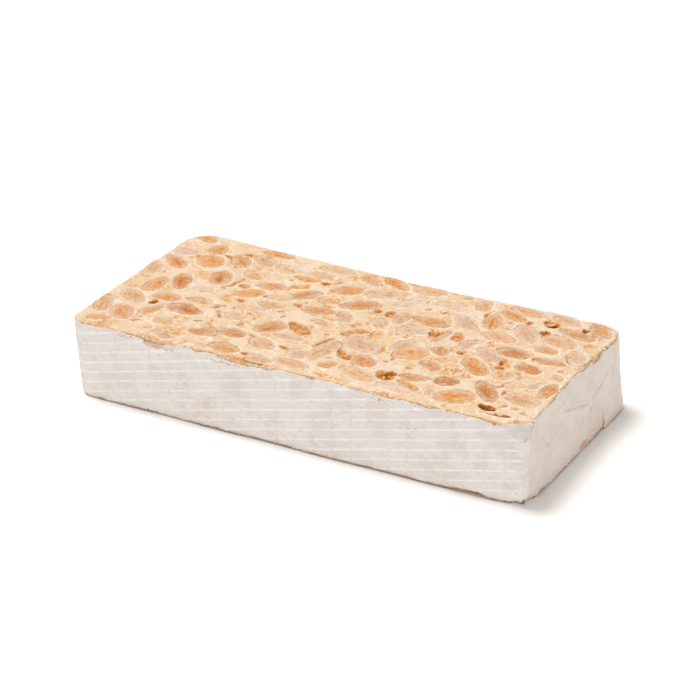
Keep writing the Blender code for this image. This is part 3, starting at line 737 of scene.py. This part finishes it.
def makeCrumbs(shape):
    # little torn lumps of nougat, some white and some tan, on the rough ground and along the rim
    rng = np.random.default_rng(8)
    x, y = (rng.uniform(-reach, reach, 4000) + middle for reach, middle in zip((97, 43), topMiddle))
    lift, masks = shapeTop(x, y, np.full_like(x, 9.0), 0 * x)
    rough = np.flatnonzero((masks["crumb"] > 0.75) & (masks["gold_and_pit_shade"] < 0.1))[:shape["onTop"]]
    pitted = np.flatnonzero((masks["gold_and_pit_shade"] > 0.6) & (masks["hole"] < 0.8))[:shape["inPits"]]
    spots = np.column_stack([x, y, topZ + lift + 0.05])[np.concatenate([pitted, rough])]
    run = rng.uniform(0, legFrom[3], shape["onRim"])
    run[:8] = legFrom[2] + rng.uniform(46, 51, 8)   # a few that hang over the right end
    z = topZ - rng.uniform(0.0, 1.1, shape["onRim"])
    z[:8] -= rng.uniform(0, 1.8, 8)
    spots = np.vstack([spots, np.column_stack([onWall(run, z, -0.25), z])])
    run = rng.uniform(-10, legFrom[3], shape["atFoot"])
    z = np.maximum(alongRun(sheetFoot, run), 0.1) + rng.uniform(0.0, 0.7, shape["atFoot"])
    spots = np.vstack([spots, np.column_stack([onWall(run, z, -0.45), z])])
    turn = np.linspace(0, 2 * math.pi, shape["around"], endpoint=False)
    tip = np.linspace(0, math.pi, shape["down"] + 2)[1:-1]
    ball = [(0, 0, 1)] + [(math.sin(t) * math.cos(a), math.sin(t) * math.sin(a), math.cos(t)) for t in tip for a in turn]
    ball = np.array(ball + [(0, 0, -1)])
    ids = np.arange(1, len(ball) - 1).reshape(shape["down"], shape["around"])
    ids = np.hstack([ids, ids[:, :1]])
    ballFaces = [tuple(face) for face in gridFaces(ids)]
    ballFaces += [(0, ids[0, k], ids[0, k + 1]) for k in range(shape["around"])]
    ballFaces += [(len(ball) - 1, ids[-1, k + 1], ids[-1, k]) for k in range(shape["around"])]
    points, faces, masks = [], [], {"pale_lip_and_highlight": [], "crumb": [], "gold_and_pit_shade": []}
    for k, spot in enumerate(spots):
        stretch = rng.uniform(0.7, 1.4, 3) * rng.uniform(*shape["size"]) * [1, 1, 0.75]
        faces += [tuple(int(i) + k * len(ball) for i in face) for face in ballFaces]
        points.append(spot + ball * stretch * (1 + rng.uniform(-0.25, 0.25, (len(ball), 1))))
        white = rng.uniform() < (0.2 if k < len(pitted) else 0.8)
        for mask, value in {"pale_lip_and_highlight": 0.8 * white, "crumb": 0.8 * (not white), "gold_and_pit_shade": 0.6 * (not white)}.items():
            masks[mask] += [value] * len(ball)
    newPiece("nougat_crumbs", np.concatenate(points), faces, nougatMaterial, masks)


makeCrumbs(crumbShape)
print("crumbs made")

almondTones = {   # heart of the cut, its edge, how dusty, and how warm the heart glows
    "deep": ("cb884c", "d39c70", 0.7, 0.8), "toasted": ("dfa56c", "dead84", 0.7, 0.8),
    "golden": ("e8ab6c", "e6b480", 0.5, 1.1), "blond": ("e6b98c", "e6c09a", 0.8, 0.5),
    "ashen": ("e0bc9a", "e2c2a6", 1.0, 0.3), "pale": ("ecc8a0", "e9c8a2", 0.7, 0.4),
    "ghost": ("e8d0bc", "e8ceb6", 0.8, 0.1), "ember": ("c06020", "d98c48", 0.2, 1.0),
}
almondShape = {
    "around": 56, "grow": 0.55,           # a little larger than the gap it fills, under the lip
    "faceRings": [0.0, 0.13, 0.26, 0.38, 0.5, 0.61, 0.71, 0.8, 0.87, 0.93],
    "dome": 0.16, "tilt": 0.018, "roughness": 0.07, "groove": 0.2,
}


def almondMesh(cut, shape, side=1):
    # rings from the middle of the cut face out to its rounded edge, and on down to the hidden back
    count = shape["around"] if cut["a"] > 4.5 else shape["around"] // 2
    angle = np.linspace(0, 2 * math.pi, count, endpoint=False)
    edge = outlineSize(cut, angle) + shape["grow"] / math.sqrt(cut["a"] * cut["b"])
    a, b, seed = cut["a"], cut["b"], cut["seed"]
    rings = [(size, 0.0) for size in shape["faceRings"][1:]]
    rings += [(1 - 0.22 / b, 0.04), (1 - 0.08 / b, 0.12), (1, 0.28), (1.0, 0.6)]
    rings += [(1 - 0.25 / b, 1.1), (0.72, 0.35 * b + 1.0), (0.35, 0.5 * b + 1.0)]
    sizes, drops = np.array(rings).T
    u = np.concatenate([[0], (sizes[:, None] * edge * np.cos(angle) * a).ravel(), [0]])
    v = np.concatenate([[0], (sizes[:, None] * edge * np.sin(angle) * b).ravel(), [0]])
    size = np.concatenate([[0], np.repeat(sizes, count), [1]])
    drop = np.concatenate([[0], np.repeat(drops, count), [0.52 * b + 1.0]])
    onFace = np.clip(1 - drop / 0.3, 0, 1)
    lift = shape["dome"] * math.sin(seed) * (1 - size ** 2)
    lift += shape["tilt"] * (math.sin(seed * 1.3) * u + math.sin(seed * 2.9) * v)
    lift += shape["roughness"] * (softNoise(u, v + seed, 2.0, 51) + 0.6 * softNoise(u, v + seed, 1.0, 52))
    middle = 0.5 * math.sin(seed * 2.1) * np.cos(u / a * 1.5)
    inward = np.clip(1 - (u / a) ** 2, 0, 1)
    if math.sin(seed * 1.7) > 0.35:   # the kernel's two halves show
        lift -= shape["groove"] * bell(v - middle, 0.45) * inward
    split = cut.get("split", 0) * bell(v - middle, 0.2 * b) * bell(u, 0.45 * a) * onFace
    lift -= 0.7 * split
    z = cut["face"] + side * ((lift if side > 0 else 0) * onFace - drop)
    c, s = math.cos(cut["turn"]), math.sin(cut["turn"])
    x, y = cut["x"] + u * c - v * s, cut["y"] + u * s + v * c
    run, out = wallPlace(x, y)   # sawn off flush where the kernel would stand out of the wall
    base, outward = runPlace(run)
    limit = nougatOut(run, z) - 0.15
    points = np.column_stack([np.where((out > limit)[:, None], base + outward * limit[:, None],
                                       np.stack([x, y], 1)), z])
    after = np.roll(np.arange(count), -1)
    faces = [(0, 1 + k, 1 + after[k]) for k in range(count)]
    for ring in range(len(rings) - 1):
        here, beyond = 1 + ring * count, 1 + (ring + 1) * count
        faces += [(here + k, beyond + k, beyond + after[k], here + after[k]) for k in range(count)]
    here, bottom = 1 + (len(rings) - 1) * count, len(points) - 1
    faces += [(here + k, bottom, here + after[k]) for k in range(count)]
    if side < 0:
        faces = [face[::-1] for face in faces]

    heart, rim, dusty, warmth = almondTones[cut["tone"]]
    spread = size + 0.4 * softNoise(u, v + seed, 2.6, 53) + 0.2 * softNoise(u, v + seed, 1.2, 54)
    share = ease(0.3, 1.0, spread)[:, None]
    flesh = np.array(linear(heart)) * (1 - share) + np.array(linear(rim)) * share
    shade = np.random.default_rng(seed).uniform((0.85, 0.91), (0.99, 1.05))
    flesh[:, :3] *= [shade[0], shade[0] * shade[1] ** 0.6, shade[0] * shade[1] ** 1.4]
    outU, outV = np.cos(angle) / a, np.sin(angle) / b
    facing = (outU * math.cos(cut["crackAt"] - cut["turn"]) + outV * math.sin(cut["crackAt"] - cut["turn"]))
    facing = np.concatenate([[0], np.tile(facing / np.hypot(outU, outV), len(rings)), [0]])
    masks = {
        "flesh": flesh, "kernel": np.stack([u + seed, v, 0 * u], 1) * mm,
        "heart": warmth * bell(v - middle, 0.42 * b) * inward * ease(1.0, 0.5, size),
        "dust": dusty * (0.15 + 0.85 * ease(0.35, 1.05, spread)) * onFace,
        "rim": ease(1 - 0.7 / b, 1 - 0.3 / b, size) * onFace * (0.3 - 0.3 * ease(-0.3, 0.6, facing)),
        # side: painted shade on the flanks below the face, along the edge that faces the gap, and in the split
        "side": np.max([ease(0.1, 0.3, drop), ease(1 - 0.6 / b, 1 - 0.2 / b, size) * ease(0.1, 0.8, facing),
                        0.9 * split], axis=0),
    }
    return points, [tuple(int(i) for i in face) for face in faces], masks


def almondPiece(name, made):
    # one piece from one or several almond meshes
    points, faces, start = [], [], 0
    for part in made:
        points.append(part[0])
        faces += [tuple(i + start for i in face) for face in part[1]]
        start += len(part[0])
    masks = {key: np.concatenate([part[2][key] for part in made]) for key in made[0][2]}
    return newPiece(name, np.concatenate(points), faces, almondMaterial, masks)


for cut in cuts:
    if cut["name"]:
        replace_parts(almondPiece("cut_" + cut["name"], [almondMesh(cut, almondShape)]), cut["name"])
almondPiece("almond_fragments", [almondMesh(cut, almondShape) for cut in cuts if not cut["name"]])
below = scatter(58, 88, 36, (3.5, 8.0), ("golden", "toasted", "blond", "pale", "ashen"), [], 0.8, 0.03)
almondPiece("almonds_underneath", [almondMesh(cut, almondShape, -1) for cut in below])
print("almonds made")

waferShape = {
    "thickness": 0.55, "columnStep": 0.65, "rowStep": 0.2, "plainStep": 0.4,
    "rowPitch": 4.4, "columnPitch": 8.2, "tilt": 14.5,   # the engraved grid; its rows climb along the sheet
    "ridgeWidth": 0.56, "ridgeHeight": 0.34, "gap": 0.11,
}
# Creases, patches and nicks on the sheets, by how far along and how high. Lines carry a depth;
# patches their half length, half height and mask; nicks their half length and depth.
endMarks = {
    "lines": [
        ([(30, 25.3), (22.6, 20.6), (12.2, 17.9)], 1.0), ([(12.3, 16.9), (-0.5, 21.2), (-13.9, 25.5)], 1.0),
        ([(34.9, 26.2), (32.4, 22)], 0.8), ([(35.6, 29.5), (35, 25.3)], 0.8), ([(19.1, 16.4), (9.7, 13.2)], 0.8),
        ([(7, 14), (3, 12.4)], 0.5), ([(-8, 15.5), (-12.5, 14.2)], 0.5), ([(-17, 16.6), (-20.5, 15.3)], 0.5),
        ([(-41.2, 31.4), (-41.9, 28.3)], 0.6),
    ],
    # the crease patch at 18.5, high under the rim, is painted shade
    "patches": [(-12.3, 28.7, 1.3, 0.8, "bruise"), (-27.9, 18.3, 1.1, 0.8, "bruise"), (5, 2.3, 4.5, 1.5, "stain"),
                (-15, 1.0, 3.6, 1.0, "stain"), (4.5, 2.2, 3.6, 1.3, "crease_tan_and_shade"), (18.5, 34.0, 5.0, 1.6, "crease_tan_and_shade"), (30, 1.5, 4, 1.5, "stain")],
    "nicks": [(10, 2.5, 0.9), (18.5, 4.0, 1.6), (-38, 3, 0.6)],
}
frontMarks = {
    "lines": [([(-70, 29.5), (-66, 28.4)], 0.4), ([(52, 33), (53.5, 31)], 0.4)],
    "patches": [(-63, 33.0, 5.0, 1.6, "crease_tan_and_shade"), (-57.5, 32.2, 5.5, 0.6, "stain"), (-75, 33.4, 4, 0.8, "stain"),
                (-30, 32.2, 9, 0.6, "stain"), (38, 33, 5, 0.7, "stain"), (70, 30.2, 0.9, 0.7, "stain"),
                (101.5, 2.4, 0.5, 1.6, "ridge_and_highlight")],
    "nicks": [(-63, 5.0, 0.5), (-42, 3.0, 0.8), (8, 3.5, 0.7), (60, 4, 0.8), (88, 2.5, 0.7)],
}


def embossed(run, height, seed):
    # the engraved grid: raised dashes along the rows, and a faint diagonal in some of the cells
    shape = waferShape
    tilt = math.radians(shape["tilt"])
    along = run + 0.4 * softNoise(run, height, 30, seed)
    across = (height * math.cos(tilt) - along * math.sin(tilt)) / shape["rowPitch"]
    row = np.round(across)
    column = along / shape["columnPitch"]
    share = column - np.floor(column)
    dash = ease(0, 0.05, share) * ease(1 - shape["gap"] + 0.05, 1 - shape["gap"], share)
    worn = np.clip(0.9 + 0.35 * softNoise(np.floor(column) * 3.7, row * 5.3, 1.0, seed + 1)
                   + 0.4 * softNoise(run, height, 6, seed + 2), 0.4, 1)
    above = (across - row) * shape["rowPitch"]   # steep underneath, sloping above, where they catch the light
    rows = bell(above, shape["ridgeWidth"] * np.where(above > 0, 1.0, 0.45)) * dash * worn
    slope = share + (across - np.floor(across)) - 1
    diagonals = 0.45 * bell(slope * 3.2, 0.24) * np.clip(0.3 + softNoise(run, height, 7, seed + 3), 0, 1)
    return np.maximum(rows, diagonals)


def sheetRelief(kind, marks, start, run, height, top, foot, seam, seed):
    # how far the surface stands out, and the masks that colour it
    lift = 0.06 * softNoise(run, height, 9, seed + 5)
    lift += (0.05, 0.1)[kind == "plain"] * softNoise(run, height, 3, seed + 6)
    lift += 0.03 * softNoise(run, height, 1.0, seed + 7)
    fromTop, fromFoot = top - height, height - foot
    patchy = ease(-0.3, 0.5, softNoise(run, height, 4, seed + 9))
    masks = {
        "ridge_and_highlight": np.zeros_like(run), "bruise": np.zeros_like(run), "crease_tan_and_shade": np.zeros_like(run),
        # painted shade on the plain sheets
        "plain_sheet_painted_shade": np.full_like(run, float(kind == "plain")),
        "stain": np.clip(0.3 * bell(fromTop, 0.6) * patchy * marks.get("edge", 1) + 0.8 * bell(fromFoot, 0.9)
                         + 0.4 * bell(fromFoot, 3.5) * patchy * (kind == "plain")
                         + 0.3 * ease(0.3, 0.8, softNoise(run, height, 11, seed + 8))
                         + 0.8 * bell(seam, 0.8) * ease(-0.4, 0.3, softNoise(run, height, 1.3, seed + 15)), 0, 1),
        "brown_foot_edge": bell(fromFoot, 0.4) * ease(-0.6, 0.1, softNoise(run, height, 5, seed + 10)),
        "fleck": ease(0.55, 0.8, softNoise(0.9 * run - 0.42 * height, 2.4 * height + run, 1.7, seed + 13)
                      * (0.8 + 0.4 * softNoise(run, height, 12, seed + 14))),
    }
    if kind == "embossed":
        # the raised lines, whitened as painted highlight
        masks["ridge_and_highlight"] = embossed(run, height, seed) * ease(0.2, 1.0, fromTop) * ease(0.1, 0.8, fromFoot)
        lift += masks["ridge_and_highlight"] * waferShape["ridgeHeight"]
    for line, depth in marks["lines"]:
        away, share = lineAway(run - start + 0.5 * softNoise(run, height, 2.5, seed + 11), height, line)
        strength = depth * ease(0, 0.15, share) * ease(1, 0.85, share)
        masks["crease_tan_and_shade"] = np.maximum(masks["crease_tan_and_shade"], strength * bell(away, 0.35) * (0.55 + 0.45 * patchy))
        lift -= strength * (0.30 * bell(away, 0.5) - 0.14 * bell(away - 1.1, 0.7))
    for at, level, long, high, mask in marks["patches"]:
        size = np.hypot((run - start - at) / long, (height - level) / high)
        size = size + 0.35 * softNoise(run, height, 1.6, seed + 12)
        masks[mask] = np.maximum(masks[mask], ease(1.15, 0.8, size))
        lift -= 0.3 * ease(1.1, 0.8, size) * (mask == "bruise")
    return lift, masks


def makeSheet(name, node, runs, footAt, topAt, kind, marks, start, outward, seed, seam=(0, 0)):
    shape = waferShape
    rowStep = shape["rowStep"] if kind == "embossed" else shape["plainStep"]
    runs = np.linspace(runs[0], runs[1], int((runs[1] - runs[0]) / shape["columnStep"]) + 1)
    foot, top = footAt(runs), topAt(runs)
    rows = int((top - foot).max() / rowStep)
    share = np.linspace(0, 1, rows + 1)[None, :]
    height = foot[:, None] + (top - foot)[:, None] * share
    run = np.repeat(runs[:, None], rows + 1, 1)
    # the seam at the folded corner leans over with the fold
    lean = 8.0 * np.clip(height - fold["foot"], 0, None) / (topZ - fold["foot"])
    fromSeam = np.minimum(run - runs[0], runs[-1] - run)
    run = run + lean * (seam[0] * (1 - ease(runs[0], runs[0] + 14, run)) + seam[1] * ease(runs[-1] - 14, runs[-1], run))
    lift, masks = sheetRelief(kind, marks, start, run, height, top[:, None], foot[:, None], fromSeam, seed)
    base, out = runPlace(run)
    far = barWall(run, height)
    fold_and_painted_shade = barWall(run, height, False) - far
    far = far + outward(run, height)
    lift = lift - masks["ridge_and_highlight"] * shape["ridgeHeight"] * ease(0.0, 0.2, fold_and_painted_shade)
    masks["ridge_and_highlight"] = masks["ridge_and_highlight"] * ease(0.2, 0.0, fold_and_painted_shade)
    # the folded facet is painted grey as shade
    masks["fold_and_painted_shade"] = ease(0.1, 0.5, fold_and_painted_shade)
    masks["crease_tan_and_shade"] = np.maximum(masks["crease_tan_and_shade"], (0.3, 1.0)[kind == "plain"] * bell(fold_and_painted_shade - 0.2, 0.16) * (fold_and_painted_shade > 0.02))
    outer = np.dstack([base + out * (far + lift)[..., None], height])
    pickI = np.round(np.linspace(0, len(runs) - 1, len(runs) // 4)).astype(int)
    pickJ = np.round(np.linspace(0, rows, rows // 8)).astype(int)
    coarse = np.ix_(pickI, pickJ)
    inside = np.dstack([(base + out * (far - shape["thickness"])[..., None])[coarse], height[coarse]])
    outerIds = np.arange(outer.shape[0] * outer.shape[1]).reshape(outer.shape[:2])
    innerIds = outerIds.size + np.arange(inside.shape[0] * inside.shape[1]).reshape(inside.shape[:2])
    faces = gridFaces(outerIds) + [face[::-1] for face in gridFaces(innerIds)]
    for a, b in ((outerIds[:, 0], innerIds[:, 0]), (outerIds[-1, :], innerIds[-1, :]),
                 (outerIds[::-1, -1], innerIds[::-1, -1]), (outerIds[0, ::-1], innerIds[0, ::-1])):
        faces += stitch(a.tolist(), b.tolist())
    points = np.concatenate([outer.reshape(-1, 3), inside.reshape(-1, 3)])
    masks = {key: np.concatenate([value.ravel(), value[coarse].ravel()]) for key, value in masks.items()}
    piece = newPiece(name, points, faces, waferMaterial, masks)
    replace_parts(piece, node)


def spanOf(node, level):
    # the runs between which a node stands at this height
    there = ~np.isnan(scanWall([node], scanRuns, [level])[:, 0])
    start = int(np.flatnonzero(there & ~np.roll(there, 1))[0])
    return scanRuns[start], scanRuns[start] + there.sum() * runStep - runStep


def ragged(values, runs, seed, amount):
    rough = softNoise(runs, runs * 0, 2.2, seed) + 0.6 * softNoise(runs, runs * 0, 0.9, seed + 1)
    bites = ease(0.45, 0.8, softNoise(runs, runs * 0, 3.1, seed + 2))
    return values + amount * (rough - 2.2 * bites)


def upperEdge(runs, start, marks, seed, rise):
    rise = rise * bell(runs - start - 25, 26)   # the back sheet shows above the nougat towards one end
    edge = ragged(np.maximum(alongRun(sheetTop, runs), topZ - alongRun(rimDip, runs) - 1.2) + rise, runs, seed,
                  0.24 if seed < 72 else 0.05)
    for at, half, depth in marks["nicks"]:
        away = np.abs(runs - start - at) / half + 0.3 * softNoise(runs, runs * 0, 1.2, seed + 3)
        edge = edge - depth * ease(1.0, 0.6, away)
    return edge


# The front and back are embossed, the ends smooth side out. The front and back lap over the ends.
sheetPlans = [
    ("embossed", frontMarks, frontStart, 0.0, (0, 1)), ("plain", endMarks, endStart, 0.0, (1, 0)),
    ("embossed", frontMarks, legFrom[4], 0.85, (0, 0)),
    ("plain", endMarks, legFrom[6] + inner["back"], 0.0, (0, 0)),
]
for k, (kind, marks, start, rise, seam) in enumerate(sheetPlans):
    lap = 0.5 if kind == "plain" else 0.1
    makeSheet(sheetNames[k].replace("wafer_", "wafer_sheet_"), sheetNames[k],
              (patchCorners[k] - lap, patchCorners[k + 1] + lap),
              lambda runs: np.clip(ragged(alongRun(sheetFoot, runs) - 0.1, runs, 60 + k, 0.2)
                                 - 3.0 * bell(runs - cornerRun[0], 3.5), 0.02, None),
              lambda runs: upperEdge(runs, start, marks, 70 + k, rise), kind, marks, start,
              lambda run, height: 0.0 if kind == "embossed" else -0.12, 80 + 20 * k, seam)

flapSpan = spanOf("wafer_flap", 8.0)
makeSheet("wafer_sheet_flap", "wafer_flap", flapSpan, lambda runs: 0.4 + 0 * runs,
          lambda runs: ragged(np.interp(runs, flapSpan, (13.5, 9.0)), runs, 76, 0.3), "plain",
          {"lines": [], "patches": [], "nicks": [], "edge": 0}, endStart,
          lambda run, height: -0.1 + 0.7 * (1 - ease(3.0, 11.0, height)), 100)
print("wafer sheets made")


def makeFloor():
    size = 3.0
    mesh = bpy.data.meshes.new("floor")
    mesh.from_pydata([(-size, -size, 0), (size, -size, 0), (size, size, 0), (-size, size, 0)], [], [(0, 1, 2, 3)])
    material = bpy.data.materials.new("white paper")
    material.use_nodes = True
    material.node_tree.nodes["Principled BSDF"].inputs["Base Color"].default_value = linear("faf9f8")
    material.node_tree.nodes["Principled BSDF"].inputs["Roughness"].default_value = 0.9
    mesh.materials.append(material)
    floor = bpy.data.objects.new("floor", mesh)
    bpy.context.scene.collection.objects.link(floor)


lightSettings = {
    "skyStrength": 0.61, "skyColour": "fffbf8",
    "keyStrength": 1.80, "keySpread": 18.0, "keyFrom": (-0.32, 0.0, 1.0), "keyColour": "ffffff",
}


def makeLights(look):
    world = bpy.data.worlds.new("studio")
    world.use_nodes = True
    world.node_tree.nodes["Background"].inputs["Color"].default_value = linear(look["skyColour"])
    world.node_tree.nodes["Background"].inputs["Strength"].default_value = look["skyStrength"]
    bpy.context.scene.world = world
    lamp = bpy.data.lights.new("key", "SUN")   # a wide, soft one, so that the floor is evenly lit
    lamp.energy, lamp.angle = look["keyStrength"], math.radians(look["keySpread"])
    lamp.color = linear(look["keyColour"])[:3]
    key = bpy.data.objects.new("key", lamp)
    key.location = look["keyFrom"]
    key.rotation_mode = "QUATERNION"
    key.rotation_quaternion = (-Vector(look["keyFrom"])).to_track_quat("-Z", "Y")
    bpy.context.scene.collection.objects.link(key)


cameraSettings = {"azimuth": 27.10, "elevation": 27.51, "distance": 990.5, "right": 1.0, "up": 19.78, "lens": 123.23}


def makeCamera(look):
    a, e = math.radians(look["azimuth"]), math.radians(look["elevation"])
    back = Vector((math.sin(a) * math.cos(e), -math.cos(a) * math.cos(e), math.sin(e)))
    right = Vector((math.cos(a), math.sin(a), 0))
    up = back.cross(right)
    camera = bpy.data.objects.new("camera", bpy.data.cameras.new("camera"))
    place = back * look["distance"] + right * look["right"] + up * look["up"] + Vector((*topMiddle, 0))
    camera.matrix_world = Matrix.Translation(place * mm) @ Matrix((right, up, back)).transposed().to_4x4()
    camera.data.lens, camera.data.sensor_width = look["lens"], 36
    camera.data.clip_start, camera.data.clip_end = 0.01, 20
    bpy.context.scene.collection.objects.link(camera)
    bpy.context.scene.camera = camera


makeFloor()
makeLights(lightSettings)
makeCamera(cameraSettings)
bpy.context.scene.view_settings.view_transform = "Standard"
print("stage set")
